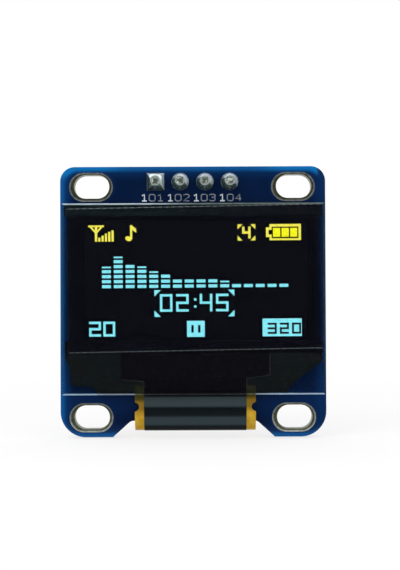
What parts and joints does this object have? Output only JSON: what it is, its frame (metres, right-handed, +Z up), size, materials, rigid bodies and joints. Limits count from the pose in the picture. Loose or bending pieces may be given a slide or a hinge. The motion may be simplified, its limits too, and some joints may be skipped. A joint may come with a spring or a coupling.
{
  "type": "small oled module",
  "caption": "Small display module: a self-lit glass panel on a slotted blue circuit board, with a ribbon folded round its lower edge and a pin header on the back.",
  "frame": {"origin": "centre of the rectangle of mounting slots, on the back face of the circuit board", "axes": "+Z up the board, +X to the right as the screen is viewed, +Y from the screen to the back"},
  "size_m": [0.0274, 0.0116, 0.0278],
  "materials": {
    "board_laminate": "glossy blue solder mask over glass-fibre laminate",
    "tinned_metal": "tinned copper",
    "solder": "bright solder",
    "pin_metal": "gold-coloured plating",
    "header_plastic": "black moulded plastic",
    "panel_glass": "clear cut glass",
    "polarizer_film": "dark glossy film",
    "yellow_light": "lit yellow",
    "blue_light": "lit pale blue",
    "emitter": "unlit black film",
    "seal_glue": "cured glue",
    "getter": "white drying sheet",
    "foam": "black foam tape",
    "conductors": "fine printed conductors, olive black",
    "silicon": "bare silicon",
    "resin": "black resin",
    "ribbon_amber": "amber polyimide film",
    "ribbon_cover": "dark grey printed cover",
    "capacitor_ceramic": "tan ceramic",
    "resistor_ceramic": "black glaze over ceramic",
    "package_black": "black moulding compound"
  },
  "bodies": {
    "root": {"blue_lights": "blue_light", "board": "board_laminate", "board_lands": "tinned_metal", "cap_glass": "panel_glass", "capacitor_1": "capacitor_ceramic", "capacitor_2": "capacitor_ceramic", "capacitor_3": "capacitor_ceramic", "capacitor_4": "capacitor_ceramic", "capacitor_5": "capacitor_ceramic", "capacitor_6": "capacitor_ceramic", "capacitor_7": "capacitor_ceramic", "capacitor_8": "capacitor_ceramic", "chip_resin": "resin", "conductor_film": "conductors", "contact_solder": "solder", "diode_body": "package_black", "diode_leads": "tinned_metal", "driver_chip": "silicon", "emitter_layer": "emitter", "foam_tape": "foam", "front_glass": "panel_glass", "getter_sheet": "getter", "header_housing": "header_plastic", "header_pin_1": "pin_metal", "header_pin_2": "pin_metal", "header_pin_3": "pin_metal", "header_pin_4": "pin_metal", "part_solder": "solder", "part_terminals": "tinned_metal", "pin_pad_1": "tinned_metal", "pin_pad_2": "tinned_metal", "pin_pad_3": "tinned_metal", "pin_pad_4": "tinned_metal", "polarizer": "polarizer_film", "regulator_body": "package_black", "regulator_leads": "tinned_metal", "resistor_1": "resistor_ceramic", "resistor_2": "resistor_ceramic", "resistor_3": "resistor_ceramic", "resistor_4": "resistor_ceramic", "resistor_5": "resistor_ceramic", "resistor_6": "resistor_ceramic", "resistor_7": "resistor_ceramic", "ribbon_contacts": "tinned_metal", "ribbon_coverlay": "ribbon_cover", "ribbon_film": "ribbon_amber", "seal_frame": "seal_glue", "slot_plating_bottom_left": "tinned_metal", "slot_plating_bottom_right": "tinned_metal", "slot_plating_top_left": "tinned_metal", "slot_plating_top_right": "tinned_metal", "solder_joint_1": "solder", "solder_joint_2": "solder", "solder_joint_3": "solder", "solder_joint_4": "solder", "yellow_lights": "yellow_light"}
  },
  "joints": []
}
